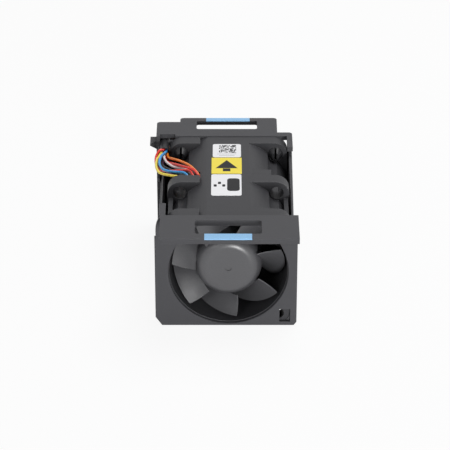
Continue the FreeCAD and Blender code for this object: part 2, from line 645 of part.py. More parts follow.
def rear_hood():
    hood = rear_outline().extrude(UP * REAR_HOOD_T)
    convex = (LEFT_SHOULDER_X, REAR_TAB_X0, REAR_TAB_X1, RIGHT_SHOULDER_X)
    left_step = FAN_Y2 + (LEFT_SHOULDER_REACH + REAR_TAB_REACH) / 2
    right_step = FAN_Y2 + REAR_TAB_REACH / 2

    def outer_corner(edge):
        middle = edge.CenterOfMass
        outer = middle.y > FAN_Y2 + RIGHT_SHOULDER_REACH / 2 and any(abs(middle.x - x) < 1e-6 for x in convex)
        inner = abs(middle.x - REAR_TAB_X0) < 1e-6 and middle.y < left_step
        inner = inner or (abs(middle.x - REAR_TAB_X1) < 1e-6 and middle.y < right_step)
        return runs_along(edge, UP) and outer and not inner
    hood = rounded(hood, CORNER_R, outer_corner)
    slot_y1 = FAN_Y2 + REAR_TAB_REACH - REAR_BAR_W
    return hood.cut(slot(REAR_SLOT_X0, REAR_SLOT_X1, slot_y1 - REAR_SLOT_W, slot_y1))


def socket_pocket():
    """Walls below the left shoulder that hold the socket and shield the leads."""
    x0 = LEFT_SHOULDER_X
    y1 = FAN_Y2 + LEFT_SHOULDER_REACH
    side = box(x0, x0 + SKIRT_T, FAN_Y2, y1, 0, REAR_HOOD_Z)
    back = box(x0, POCKET_X1, y1 - SKIRT_T, y1, 0, POCKET_Z1)
    upright = box(x0, x0 + SKIRT_T + SOCKET_X, y1 - SKIRT_T, y1, POCKET_Z1, REAR_HOOD_Z)
    inner = box(POCKET_X1 - SKIRT_T, POCKET_X1, REAR_Y + PIN_HEAD_T + SOCKET_GAP, y1, 0, POCKET_Z1)
    return [side, back, upright, inner]


def latch_wing():
    """Small swept wing at the top of the left side that guides and latches the module."""
    root = LEFT_WALL_FOOT_X
    low = WING_TOP_Z - WING_ROOT_T
    y0 = FAN_Y2 + WING_ROOT_Y
    section = polygon([Vector(x, y0, z) for x, z in (
        (WING_X, WING_TOP_Z), (root, WING_TOP_Z), (root, low), (WING_X, WING_TOP_Z - WING_TIP_T))])
    wing = section.extrude(ALONG * WING_L)
    sweep = polygon([Vector(x, y, low) for x, y in ((WING_X, y0), (root, y0), (WING_X, y0 + WING_SWEEP))])
    return wing.cut(sweep.extrude(UP * WING_ROOT_T))


def rear_panel():
    """Outlet panel with its hood, socket pocket and latch wing, one moulding."""
    plate = box(REAR_PANEL_X0, REAR_PANEL_X1, FAN_Y2, REAR_Y, 0, HOOD_TOP_Z)
    x1 = RIGHT_SHOULDER_X
    skirt = box(x1 - RIGHT_WALL_T, x1, REAR_Y, FAN_Y2 + RIGHT_SHOULDER_REACH, 0, REAR_HOOD_Z)
    panel = plate.fuse([rear_hood(), latch_wing(), gusset(), skirt] + socket_pocket())
    panel = panel.cut(rod(PANEL_BORE_R, FAN_Y2, REAR_Y))
    for x, z in hole_places():
        panel = panel.cut(rod(HOLE_R, FAN_Y2, REAR_Y, x, z))
    notch_x0 = LEFT_SHOULDER_X + SKIRT_T
    notch_y1 = FAN_Y2 + CABLE_NOTCH_DEPTH
    panel = panel.cut(box(notch_x0, CABLE_NOTCH_X1, FAN_Y2, notch_y1, HOOD_Z, HOOD_TOP_Z))
    panel = panel.cut(box(notch_x0, -FAN_SIZE / 2, FAN_Y2, REAR_Y, CABLE_NOTCH_Z0, HOOD_TOP_Z))
    panel = panel.cut(box(GAP_X0, FAN_SIZE / 2, FAN_Y2, REAR_Y, GAP_Z0, REAR_HOOD_Z))
    return panel.cut(rear_strip()).removeSplitter()


def left_wall():
    """Left side wall with its thin upper lip and the block behind the front hood."""
    section = polygon([Vector(x, FAN_Y0, z) for x, z in (
        (FRONT_PANEL_X0 + CHAMFER_LEFT[0], 0), (LEFT_WALL_INNER_X, 0), (LEFT_WALL_INNER_X, LEFT_WALL_TOP_Z),
        (LEFT_WALL_TOP_X, LEFT_WALL_TOP_Z), (LEFT_WALL_FOOT_X, LEFT_WALL_SLOPE_Z),
        (LEFT_WALL_FOOT_X, CHAMFER_LEFT[1]))])
    wall = section.extrude(ALONG * (FAN_Y2 - FAN_Y0))
    block = box(BLOCK_X0, BLOCK_X1, FAN_Y0, BLOCK_REACH, BLOCK_Z0, HOOD_TOP_Z)
    return wall.fuse(block).removeSplitter()


def gusset():
    """Thin web outside the left wall, sloping up to the outlet panel."""
    x0 = LEFT_WALL_FOOT_X - GUSSET_T
    y0 = FAN_Y2 - GUSSET_L
    side = polygon([Vector(x0, y, z) for y, z in (
        (FAN_Y2, GUSSET_Z1 - GUSSET_DEEP), (FAN_Y2, GUSSET_Z1), (y0, LEFT_WALL_TOP_Z - GUSSET_T),
        (y0, LEFT_WALL_TOP_Z - GUSSET_DEEP / 3))])
    return side.extrude(Vector(GUSSET_T, 0, 0))


def foot_rail():
    """Rail that fills the corner between the right wall and the rounded corners of the flanges."""
    half = FAN_SIZE / 2
    reach = half + FAN_GAP
    fan = box(-reach, reach, FAN_Y0, FAN_Y2, -FAN_GAP, FAN_SIZE + FAN_GAP)
    fan = rounded(fan, FLANGE_CORNER_R, lambda edge: runs_along(edge, ALONG))
    rail = box(half - RAIL_W, RIGHT_WALL_FRONT_X - RIGHT_WALL_T / 4, FAN_Y0, FAN_Y2, 0, RAIL_TALL)
    return rail.cut(fan)


def right_wall():
    """Right side wall, which toes in towards the inlet and rises towards the outlet."""
    front = RIGHT_WALL_FRONT_X
    rear = RIGHT_WALL_REAR_X
    plan = polygon([Vector(x, y, 0) for x, y in (
        (front - RIGHT_WALL_T / 2, FAN_Y0), (front, FAN_Y0), (rear, FAN_Y2), (rear - RIGHT_WALL_T, FAN_Y2))])
    wall = plan.extrude(UP * RIGHT_WALL_REAR_Z)
    above = HOOD_TOP_Z
    cutter = polygon([Vector(0, FAN_Y0, above), Vector(0, FAN_Y0, RIGHT_WALL_TOP_Z),
                      Vector(0, FAN_Y2, RIGHT_WALL_REAR_Z), Vector(0, FAN_Y2, above)])
    return wall.cut(cutter.extrude(Vector(2 * rear, 0, 0))).fuse(foot_rail()).removeSplitter()


# ---- socket, pins, labels -------------------------------------------------------------------
SOCKET_X0 = LEFT_SHOULDER_X + SKIRT_T + SOCKET_GAP
SOCKET_X1 = POCKET_X1 - SKIRT_T - SOCKET_GAP
SOCKET_Y0 = REAR_Y + PIN_HEAD_T + SOCKET_GAP
SOCKET_Y1 = FAN_Y2 + LEFT_SHOULDER_REACH - SKIRT_T - SOCKET_GAP


def contact_places():
    middle_x = (SOCKET_X0 + SOCKET_X1) / 2
    middle_y = (SOCKET_Y0 + SOCKET_Y1) / 2
    places = []
    for row in range(CONTACT_ROW_COUNT):
        for column in range(CONTACT_COLUMN_COUNT):
            x = middle_x + (column - (CONTACT_COLUMN_COUNT - 1) / 2) * 2 * CONTACT_PITCH
            y = middle_y + (row - (CONTACT_ROW_COUNT - 1) / 2) * CONTACT_PITCH
            places.append((x, y))
    return places


def upright(x, y, side, z0, z1):
    return box(x - side / 2, x + side / 2, y - side / 2, y + side / 2, z0, z1)


def socket_body():
    """Blind-mate socket that stands in the pocket, its cavities open downwards."""
    body = box(SOCKET_X0, SOCKET_X1, SOCKET_Y0, SOCKET_Y1, 0, SOCKET_Z1)
    for x, y in contact_places():
        body = body.cut(upright(x, y, CAVITY_SIDE, 0, CAVITY_DEEP))
        entry = Vector(x, y, CAVITY_DEEP)
        body = body.cut(Part.makeCylinder(LEAD_R + LEAD_GAP, SOCKET_Z1 - CAVITY_DEEP, entry, UP))
    return body


def socket_contacts():
    z0 = CAVITY_DEEP - CONTACT_TALL
    return Part.makeCompound([upright(x, y, CONTACT_SIDE, z0, CAVITY_DEEP) for x, y in contact_places()])


def push_pin(x, z):
    """Split nylon pin: flat head behind the outlet panel, barbs in front of the fan's flange."""
    radius = HOLE_R - PIN_GAP
    flange_y = FAN_Y2 - FLANGE_T
    shank = rod(radius, flange_y, REAR_Y, x, z)
    head = rod(PIN_HEAD_R, REAR_Y, REAR_Y + PIN_HEAD_T, x, z)
    barb = Part.makeCone(PIN_BARB_R, radius * 0.6, PIN_BARB_L, Vector(x, flange_y, z), ALONG * -1)
    split = box(x - PIN_SLOT_W / 2, x + PIN_SLOT_W / 2, flange_y - PIN_BARB_L, flange_y + FLANGE_T / 2,
                z - PIN_BARB_R, z + PIN_BARB_R)
    return shank.fuse([head, barb]).cut(split).removeSplitter()


def push_pins():
    return Part.makeCompound([push_pin(x, z) for x, z in hole_places()])


def label(x0, x1, y0, y1, corner):
    """Thin sticker on the flat crown of the tube."""
    sheet = box(x0, x1, y0, y1, FAN_SIZE, FAN_SIZE + LABEL_T)
    return rounded(sheet, corner, lambda edge: runs_along(edge, UP))


# ---- leads ----------------------------------------------------------------------------------
BUNDLE_R = LEAD_R / math.sin(math.pi / (len(LEAD_PLACES) - 1)) + LEAD_GAP / 4


def lead_points(name):
    """The lead's corners: out of the motor, its free route, the sleeve, and the drop to its contact."""
    turn, near = LEAD_EXITS[name]
    way = Vector(math.cos(math.radians(turn)), 0, math.sin(math.radians(turn)))
    centre = Vector(0, FAN_Y1 + LEAD_ROW_Y[near], AXIS_Z)
    corner = Vector(-FAN_SIZE / 2, FAN_Y1, FAN_SIZE)
    points = [centre + way * (BASE_R + LEAD_START_GAP), centre + way * (TUBE_R + LEAD_EXIT_GAP)]
    points.extend(corner + Vector(*step) for step in LEAD_ROUTES[name])
    angle, row, column = LEAD_PLACES[name]
    x, z = SLEEVE_X, SLEEVE_Z
    if angle is not None:
        x += BUNDLE_R * math.cos(math.radians(angle))
        z += BUNDLE_R * math.sin(math.radians(angle))
    contact_x, contact_y = contact_places()[row * CONTACT_COLUMN_COUNT + column]
    mouth_y = SLEEVE_Y0 + (LEAD_DROP_R if name == "red" else LEAD_R)
    points.extend([Vector(x, mouth_y, z), Vector(x, contact_y, z),
                   Vector(contact_x, contact_y, SOCKET_Z1 + LEAD_DROP_L), Vector(contact_x, contact_y, CAVITY_DEEP)])
    return points


def lead_path(points):
    """Straight runs joined by tangent arcs; returns the wire and its tightest radius."""
    edges = []
    start = points[0]
    tightest = math.inf
    drop = len(points) - 1 - DROP_CORNERS
    for index in range(1, len(points) - 1):
        corner = points[index]
        back = points[index - 1] - corner
        onward = points[index + 1] - corner
        half_turn = (math.pi - back.getAngle(onward)) / 2
        radius = ARC_SHARE * min(back.Length, onward.Length) / math.tan(half_turn)
        if index >= drop:
            radius = min(radius, LEAD_DROP_R)
        reach = radius * math.tan(half_turn)
        enter = corner + back.normalize() * reach
        leave = corner + onward.normalize() * reach
        middle_line = (back + onward).normalize()
        middle = corner + middle_line * (radius / math.cos(half_turn) - radius)
        edges.append(Part.LineSegment(start, enter).toShape())
        edges.append(Part.Arc(enter, middle, leave).toShape())
        start = leave
        tightest = min(tightest, radius)
    edges.append(Part.LineSegment(start, points[-1]).toShape())
    return Part.Wire(edges), tightest


def lead(name):
    points = lead_points(name)
    path, tightest = lead_path(points)
    circle = Part.Circle(points[0], points[1] - points[0], LEAD_R)
    tube = path.makePipeShell([Part.Wire(circle.toShape())], True, True)
    filled = tube.Volume / (math.pi * LEAD_R ** 2 * path.Length)
    print(name, "lead: length", round(path.Length, 1), "tightest", round(tightest, 2), "filled", round(filled, 4))
    return tube


def sleeve_core(radius):
    """Straight round core with a flared front end."""
    start = Vector(SLEEVE_X, SLEEVE_Y0, SLEEVE_Z)
    mouth = Part.makeCone(radius + SLEEVE_FLARE, radius, SLEEVE_MOUTH_L, start, ALONG)
    return mouth.fuse(rod(radius, SLEEVE_Y0 + SLEEVE_MOUTH_L, SLEEVE_Y1, SLEEVE_X, SLEEVE_Z))


def cable_sleeve():
    """Shrink sleeve round the bundle, held in the notch of the outlet panel."""
    inner = BUNDLE_R + LEAD_R + LEAD_GAP / 2
    return sleeve_core(inner + SLEEVE_WALL).cut(sleeve_core(inner))


def build():
    pieces = {"front_panel": front_panel(), "rear_panel": rear_panel(), "left_wall": left_wall(),
              "right_wall": right_wall(), "front_touch_strip": front_strip(), "rear_touch_strip": rear_strip(),
              "socket_body": socket_body(), "socket_contacts": socket_contacts(), "push_pins": push_pins(),
              "cable_sleeve": cable_sleeve()}
    for name in LEAD_ROUTES:
        pieces[name + "_lead"] = lead(name)
    for name, place in LABELS.items():
        pieces[name] = label(*place)
    makers = {"housing": fan_housing, "impeller": impeller, "yoke": yoke, "magnet": magnet, "shaft": shaft,
              "shaft_clip": clip, "spacer_washer": washer, "bearings": bearings, "stator_core": stator_core,
              "coils": coils, "circuit_board": board}
    for side, rear in (("front", False), ("rear", True)):
        for name, make in makers.items():
            pieces[side + "_" + name] = make(rear)
    return pieces


os.makedirs("parts", exist_ok=True)
for name, piece in build().items():
    piece.exportStep("parts/" + name + ".step")
    print(name, piece.isValid(), round(piece.Volume, 1), len(piece.Solids))
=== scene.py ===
import bmesh
import bpy
import json
import math
import random
from mathutils import Matrix, Vector


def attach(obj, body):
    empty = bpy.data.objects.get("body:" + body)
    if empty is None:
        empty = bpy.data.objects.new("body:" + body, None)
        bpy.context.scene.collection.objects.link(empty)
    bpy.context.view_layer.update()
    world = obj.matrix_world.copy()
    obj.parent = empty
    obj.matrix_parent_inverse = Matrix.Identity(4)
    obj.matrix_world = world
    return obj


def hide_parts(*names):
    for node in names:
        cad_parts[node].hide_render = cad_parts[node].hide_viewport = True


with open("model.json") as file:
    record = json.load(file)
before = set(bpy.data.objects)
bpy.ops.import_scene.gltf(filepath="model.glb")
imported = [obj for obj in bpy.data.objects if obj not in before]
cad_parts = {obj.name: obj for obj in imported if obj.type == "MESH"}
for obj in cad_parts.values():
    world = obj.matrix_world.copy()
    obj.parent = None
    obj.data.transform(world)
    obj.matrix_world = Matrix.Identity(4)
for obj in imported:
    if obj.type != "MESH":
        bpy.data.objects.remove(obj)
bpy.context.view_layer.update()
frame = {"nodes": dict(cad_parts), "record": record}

# Camera: in front of the inlet end and above it, looking down on the module through a long lens
# that hardly draws its sides together.
CAMERA_PLACE = (-0.0011, -0.62665, 0.38472)
CAMERA_TILT = math.radians(60.998)
CAMERA_LENS = 180
CAMERA_SENSOR = 36
CAMERA_REACH = 10
camera_data = bpy.data.cameras.new("camera")
camera_data.lens = CAMERA_LENS
camera_data.sensor_width = CAMERA_SENSOR
camera_data.clip_end = CAMERA_REACH
camera = bpy.data.objects.new("camera", camera_data)
camera.location = CAMERA_PLACE
camera.rotation_euler = (CAMERA_TILT, 0, 0)
bpy.context.scene.collection.objects.link(camera)
bpy.context.scene.camera = camera
bpy.context.scene.view_settings.view_transform = "Standard"


# Studio floor: one pale paper sheet under the module. It shows white to the camera and in
# reflections, and keeps the soft shadow that the module throws.
def node_material(name):
    """An empty node material with its output node."""
    material = bpy.data.materials.new(name)
    material.use_nodes = True
    nodes = material.node_tree.nodes
    nodes.clear()
    output = nodes.new("ShaderNodeOutputMaterial")
    return material, nodes, material.node_tree.links, output


def seen_directly(nodes, links):
    """1 where the camera, a reflection or a transmitted ray sees the surface."""
    path = nodes.new("ShaderNodeLightPath")
    total = path.outputs["Is Camera Ray"]
    for name in ("Is Glossy Ray", "Is Transmission Ray"):
        add = nodes.new("ShaderNodeMath")
        add.operation = "MAXIMUM"
        links.new(total, add.inputs[0])
        links.new(path.outputs[name], add.inputs[1])
        total = add.outputs[0]
    return total


FLOOR_HALF = 2.0
FLOOR_GLOW = 0.9
PAPER_COLOUR = (0.85, 0.85, 0.86, 1)

sheet = bmesh.new()
bmesh.ops.create_grid(sheet, x_segments=1, y_segments=1, size=FLOOR_HALF)
floor_mesh = bpy.data.meshes.new("studio_floor")
sheet.to_mesh(floor_mesh)
sheet.free()
floor = bpy.data.objects.new("studio_floor", floor_mesh)
bpy.context.scene.collection.objects.link(floor)
material, nodes, links, output = node_material("studio paper")
paper = nodes.new("ShaderNodeBsdfDiffuse")
paper.inputs["Color"].default_value = PAPER_COLOUR
glow = nodes.new("ShaderNodeEmission")
share = nodes.new("ShaderNodeMath")
share.operation = "MULTIPLY"
share.inputs[1].default_value = FLOOR_GLOW
links.new(seen_directly(nodes, links), share.inputs[0])
mix = nodes.new("ShaderNodeMixShader")
links.new(share.outputs[0], mix.inputs["Fac"])
links.new(paper.outputs[0], mix.inputs[1])
links.new(glow.outputs[0], mix.inputs[2])
links.new(mix.outputs[0], output.inputs["Surface"])
floor.data.materials.append(material)

# Studio light: a pale room that fills from all round, one broad box overhead, a low one on the right
# of the inlet end, which leaves the hollows behind the front hood in shade, and a weak high one on
# the left that draws highlights on the blades.
ROOM_WHITE = (1.0, 1.0, 1.0, 1)
ROOM_FILL = 0.18
ROOM_SEEN = 1.0
world = bpy.data.worlds.new("studio room")
bpy.context.scene.world = world
world.use_nodes = True
nodes = world.node_tree.nodes
links = world.node_tree.links
room = nodes["Background"]
room.inputs["Color"].default_value = ROOM_WHITE
dim = nodes.new("ShaderNodeMapRange")
dim.inputs["To Min"].default_value = ROOM_FILL
dim.inputs["To Max"].default_value = ROOM_SEEN
links.new(seen_directly(nodes, links), dim.inputs["Value"])
links.new(dim.outputs["Result"], room.inputs["Strength"])


def soft_box(name, place, aim, size, power):
    """A round area light of this width, turned to its aim."""
    lamp = bpy.data.lights.new(name, "AREA")
    lamp.shape = "DISK"
    lamp.size = size
    lamp.energy = power
    light = bpy.data.objects.new(name, lamp)
    light.location = place
    light.rotation_euler = (Vector(aim) - Vector(place)).to_track_quat("-Z", "Y").to_euler()
    bpy.context.scene.collection.objects.link(light)


soft_box("overhead_box", place=(0.25, 0.15, 0.9), aim=(0, 0.03, 0.02), size=0.7, power=6.3)
soft_box("inlet_box", place=(0.25, -1.1, 0.11), aim=(0, 0, 0.02), size=0.2, power=8.0)
soft_box("high_inlet_box", place=(-0.45, -0.75, 0.45), aim=(0, 0, 0.02), size=0.3, power=1.2)

# Carrier panels: the inlet and outlet plates with their finger hoods, injection moulded in black
# polycarbonate with a fine spark-eroded grain. The mould rounds every outside edge slightly. The
# rounds get a lighter, glossier copy of the plastic: partly wear from handling, partly a painted
# highlight.
EDGE_ROUND = 0.00018
EDGE_STEPS = 2
SHARP_ANGLE = math.radians(35)
FLAT_ANGLE = math.radians(0.5)
JOIN_WITHIN = 1e-6
FLAT_FINISH, EDGE_FINISH = 0, 1


def finished(node, plastic, burnished_with_painted_highlight, edge=EDGE_ROUND, moves=()):
    """A copy of the bare solid with its loose triangles joined and its edges rounded, the rounds
    given a lighter finish that is partly wear and partly a painted highlight.

    Each move takes the corner nearest to its first point to its second point.
    """
    shape = bmesh.new()
    shape.from_mesh(frame["nodes"][node].data)
    bmesh.ops.remove_doubles(shape, verts=shape.verts, dist=JOIN_WITHIN)
    bmesh.ops.dissolve_limit(shape, angle_limit=FLAT_ANGLE, verts=shape.verts, edges=shape.edges)
    for old, new in moves:
        corner = min(shape.verts, key=lambda vert: (vert.co - Vector(old)).length)
        corner.co = new
    for face in shape.faces:
        face.smooth = True
        face.material_index = FLAT_FINISH
    mesh = bpy.data.meshes.new(node + "_finish")
    shape.to_mesh(mesh)
    shape.free()
    mesh.set_sharp_from_angle(angle=SHARP_ANGLE)
    mesh.materials.append(plastic)
    mesh.materials.append(burnished_with_painted_highlight)
    piece = bpy.data.objects.new(node + "_finish", mesh)
    bpy.context.scene.collection.objects.link(piece)
    rounding = piece.modifiers.new("rounded edges", "BEVEL")
    rounding.width = edge
    rounding.segments = EDGE_STEPS
    rounding.limit_method = "ANGLE"
    rounding.angle_limit = SHARP_ANGLE
    rounding.harden_normals = True
    # The rounds take the second material: the lighter edge finish, partly a painted highlight.
    rounding.material = EDGE_FINISH
    level = piece.modifiers.new("flat faces", "WEIGHTED_NORMAL")
    level.keep_sharp = True
    body = next(b for b, members in frame["record"]["behaviour"]["bodies"].items() if node in members)
    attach(piece, body)
    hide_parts(node)
    return piece


FLOW_PATCHES = 90
FLOW_DETAIL, GRAIN_DETAIL = 4, 3
PIT_SHADE = 0.2
PIT_SLOPE = 3
DULL_SPREAD = 0.08


def moulded(name, colour, roughness, grain, relief, patch=0.12, gloss=0.5):
    """Moulded plastic: spark-eroded grain with painted shade in its pits and painted light on its
    crests, and faint flow patches that are a little duller.
    """
    material, nodes, links, output = node_material(name)
    shader = nodes.new("ShaderNodeBsdfPrincipled")
    shader.inputs["Specular IOR Level"].default_value = gloss
    place = nodes.new("ShaderNodeTexCoord")
    fine = nodes.new("ShaderNodeTexNoise")
    fine.inputs["Scale"].default_value = 1 / grain
    fine.inputs["Detail"].default_value = GRAIN_DETAIL
    broad = nodes.new("ShaderNodeTexNoise")
    broad.inputs["Scale"].default_value = FLOW_PATCHES
    broad.inputs["Detail"].default_value = FLOW_DETAIL
    for noise in (fine, broad):
        links.new(place.outputs["Object"], noise.inputs["Vector"])
    tint = nodes.new("ShaderNodeMix")
    tint.data_type = "RGBA"
    tint.inputs["A"].default_value = (*[c * (1 - patch) for c in colour], 1)
    tint.inputs["B"].default_value = (*[c * (1 + patch) for c in colour], 1)
    links.new(broad.outputs["Fac"], tint.inputs["Factor"])
    # Painted shade and light on the grain: the colour darkens in its pits and lightens on its crests,
    # following the noise that makes the bump.
    pits = nodes.new("ShaderNodeMapRange")
    pits.inputs["To Min"].default_value = 1 - PIT_SHADE
    pits.inputs["To Max"].default_value = 1 + PIT_SHADE
    links.new(fine.outputs["Fac"], pits.inputs["Value"])
    grain_painted_shade = nodes.new("ShaderNodeMix")
    grain_painted_shade.data_type = "RGBA"
    grain_painted_shade.blend_type = "MULTIPLY"
    grain_painted_shade.inputs["Factor"].default_value = 1.0
    links.new(tint.outputs["Result"], grain_painted_shade.inputs["A"])
    links.new(pits.outputs["Result"], grain_painted_shade.inputs["B"])
    links.new(grain_painted_shade.outputs["Result"], shader.inputs["Base Color"])
    dull = nodes.new("ShaderNodeMapRange")
    dull.inputs["To Min"].default_value = roughness - DULL_SPREAD
    dull.inputs["To Max"].default_value = roughness + DULL_SPREAD
    links.new(broad.outputs["Fac"], dull.inputs["Value"])
    links.new(dull.outputs["Result"], shader.inputs["Roughness"])
    bump = nodes.new("ShaderNodeBump")
    bump.inputs["Strength"].default_value = relief
    bump.inputs["Distance"].default_value = grain / PIT_SLOPE
    links.new(fine.outputs["Fac"], bump.inputs["Height"])
    links.new(bump.outputs["Normal"], shader.inputs["Normal"])
    links.new(shader.outputs["BSDF"], output.inputs["Surface"])
    return material


carrier_plastic = moulded("carrier plastic", colour=(0.060, 0.060, 0.065), roughness=0.55,
                          grain=0.00022, relief=0.35, gloss=0.22)
# Edge finish: lighter and glossier than the faces, partly handling wear and partly a painted
# highlight.
carrier_edge_wear_and_highlight = moulded("carrier burnished edge", colour=(0.085, 0.085, 0.09), roughness=0.38,
                       grain=0.0004, relief=0.1)
finished("front_panel", carrier_plastic, carrier_edge_wear_and_highlight)

# Latch wing: the spring tongue on the left of the outlet panel, moulded with it. It thins out to a
# blade, so its underside is drawn up at the tip and at the step, and its top edge runs back.
WING_BACK_Y = 0.0646
WING_TIP_X, WING_TIP_Y = -0.0267, 0.0587
WING_TIP_LOW, WING_TIP_THIN = 0.03335, 0.03575
WING_STEP_X, WING_STEP_Y = -0.02445, 0.05791
WING_STEP_LOW, WING_STEP_THIN = 0.03249, 0.0349
WING_TOP_Z, WING_TOP_Y = 0.03625, 0.0616
wing_moves = []
for y in (WING_TIP_Y, WING_BACK_Y):
    wing_moves.append(((WING_TIP_X, y, WING_TIP_LOW), (WING_TIP_X, y, WING_TIP_THIN)))
for y in (WING_STEP_Y, WING_BACK_Y):
    wing_moves.append(((WING_STEP_X, y, WING_STEP_LOW), (WING_STEP_X, y, WING_STEP_THIN)))
wing_moves.append(((WING_STEP_X, WING_STEP_Y, WING_TOP_Z), (WING_STEP_X, WING_TOP_Y, WING_TOP_Z)))
finished("rear_panel", carrier_plastic, carrier_edge_wear_and_highlight, moves=wing_moves)

# Side walls: thin walls that tie the two panels together, moulded apart in the same plastic and
# heat-staked to them. Below its raised block the left one takes a darker, duller copy of the
# plastic, which is painted shade, and its lip is thinner than the rest of it.
LIP_X, LIP_THIN_X, LIP_Z = -0.0214, -0.02168, 0.03375
LIP_ENDS_Y = (0.0572, 0.0093)
PAINTED_SHADE_BELOW_Z = 0.0345
BLOCK_FINISH = 2
WALL_EDGE_ROUND = 0.00008
lip_moves = [((LIP_X, y, LIP_Z), (LIP_THIN_X, y, LIP_Z)) for y in LIP_ENDS_Y]
# Painted shade: a darker, duller copy of the plastic for the left wall's faces below its raised
# block.
left_wall_painted_shade = moulded("left wall painted shade plastic", colour=(0.038, 0.038, 0.041), roughness=0.7,
                       grain=0.00022, relief=0.35, gloss=0.08)
left_wall = finished("left_wall", left_wall_painted_shade, carrier_edge_wear_and_highlight, WALL_EDGE_ROUND, moves=lip_moves)
left_wall.data.materials.append(carrier_plastic)
# Faces above this height take the carrier plastic; those below keep the painted shade.
for face in left_wall.data.polygons:
    if face.center.z > PAINTED_SHADE_BELOW_Z:
        face.material_index = BLOCK_FINISH
finished("right_wall", carrier_plastic, carrier_edge_wear_and_highlight)

# Fan housings: glass-filled polyester, a touch darker than the carrier, each moulded in one piece
# with its flanges, stator vanes and motor base. The first is held between the inlet panel and the
# second, which is pinned to the outlet panel.
HOUSING_EDGE_ROUND = 0.00015
housing_plastic = moulded("housing plastic", colour=(0.044, 0.044, 0.048), roughness=0.5,
                          grain=0.00016, relief=0.3, gloss=0.2)
# Edge finish: a lighter copy on the rounds, partly handling wear and partly a painted highlight.
housing_edge_wear_and_highlight = moulded("housing burnished edge", colour=(0.075, 0.075, 0.08), roughness=0.38,
                       grain=0.0004, relief=0.1)
for node in ("front_housing", "rear_housing"):
    finished(node, housing_plastic, housing_edge_wear_and_highlight, HOUSING_EDGE_ROUND)

# Impellers: seven and five swept blades, each set moulded in one with its domed hub, from a polished
# tool, so they are smoother and catch more light than the housings. They are pressed on the yokes.
BLADE_EDGE_ROUND = 0.0001
blade_plastic = moulded("impeller plastic", colour=(0.078, 0.078, 0.083), roughness=0.33,
                        grain=0.0004, relief=0.08, gloss=0.55)
# Edge finish: a lighter copy on the blade rounds, partly wear and partly a painted highlight.
blade_edge_wear_and_highlight = moulded("impeller edge", colour=(0.11, 0.11, 0.115), roughness=0.3,
                     grain=0.0004, relief=0.05)
for node in ("front_impeller", "rear_impeller"):
    finished(node, blade_plastic, blade_edge_wear_and_highlight, BLADE_EDGE_ROUND)

# Touch strips: bright blue polypropylene, moulded on the bars of the finger hoods to mark where to
# hold the module.
STRIP_EDGE_ROUND = 0.0001
strip_plastic = moulded("touch strip plastic", colour=(0.26, 0.51, 0.79), roughness=0.42,
                        grain=0.0003, relief=0.12, patch=0.03)
for node in ("front_touch_strip", "rear_touch_strip"):
    finished(node, strip_plastic, strip_plastic, STRIP_EDGE_ROUND)

# Labels: die-cut polyester film, white, yellow and white, with a faint fibre in its coating, stuck
# along the flat crown of the fans.
FILM_ROUGHNESS = 0.4
FIBRES = 1500
FIBRE_RELIEF = 0.1
FIBRE_HEIGHT = 0.0001


def printed(name, paper_colour):
    """Coated label film."""
    material, nodes, links, output = node_material(name)
    shader = nodes.new("ShaderNodeBsdfPrincipled")
    shader.inputs["Base Color"].default_value = (*paper_colour, 1)
    shader.inputs["Roughness"].default_value = FILM_ROUGHNESS
    place = nodes.new("ShaderNodeTexCoord")
    fibre = nodes.new("ShaderNodeTexNoise")
    fibre.inputs["Scale"].default_value = FIBRES
    links.new(place.outputs["Object"], fibre.inputs["Vector"])
    bump = nodes.new("ShaderNodeBump")
    bump.inputs["Strength"].default_value = FIBRE_RELIEF
    bump.inputs["Distance"].default_value = FIBRE_HEIGHT
    links.new(fibre.outputs["Fac"], bump.inputs["Height"])
    links.new(bump.outputs["Normal"], shader.inputs["Normal"])
    links.new(shader.outputs["BSDF"], output.inputs["Surface"])
    return material


def dress(node, material):
    """Gives a bare solid its finish."""
    solid = frame["nodes"][node]
    solid.data.materials.clear()
    solid.data.materials.append(material)


white_film = printed("white film", (0.88, 0.88, 0.90))
yellow_film = printed("yellow film", (0.92, 0.75, 0.06))
dress("rear_label", white_film)
dress("middle_label", yellow_film)
dress("front_label", white_film)

# Print on the labels: one pass of dark ink, laid on the film before it is cut. A block of dots with
# two ruled lines on the rear one, an arrow that shows which way the air goes on the middle one, and
# a plain patch beside three bars on the front one.
INK_T = 0.000012
LABEL_TOP = 0.0401
CORNER_STEPS = 6
ink_black = moulded("label ink", colour=(0.016, 0.016, 0.018), roughness=0.6,
                    grain=0.0003, relief=0.05, gloss=0.2)


def patch(film, x0, x1, y0, y1, corner=0.0):
    """A flat rectangle of ink on the label, its corners rounded if asked."""
    middle = Vector(((x0 + x1) / 2, (y0 + y1) / 2, LABEL_TOP))
    size = Matrix.Diagonal(((x1 - x0) / 2, (y1 - y0) / 2, 1, 1))
    made = bmesh.ops.create_grid(film, x_segments=1, y_segments=1, size=1,
                                 matrix=Matrix.Translation(middle) @ size)
    if corner:
        bmesh.ops.bevel(film, geom=made["verts"], offset=corner, offset_type="OFFSET",
                        affect="VERTICES", segments=CORNER_STEPS, profile=0.5, material=-1)


def doubled(sheet):
    """Closes a flat sheet into a solid of no thickness yet, and gives the corners of its new side."""
    skin = bmesh.ops.extrude_face_region(sheet, geom=sheet.faces[:], use_keep_orig=True)
    return [part for part in skin["geom"] if isinstance(part, bmesh.types.BMVert)]


def built(name, shape, material):
    """Closes a new shape off as a piece of the module."""
    bmesh.ops.recalc_face_normals(shape, faces=shape.faces)
    mesh = bpy.data.meshes.new(name)
    shape.to_mesh(mesh)
    shape.free()
    mesh.set_sharp_from_angle(angle=SHARP_ANGLE)
    mesh.materials.append(material)
    piece = bpy.data.objects.new(name, mesh)
    bpy.context.scene.collection.objects.link(piece)
    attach(piece, "module")


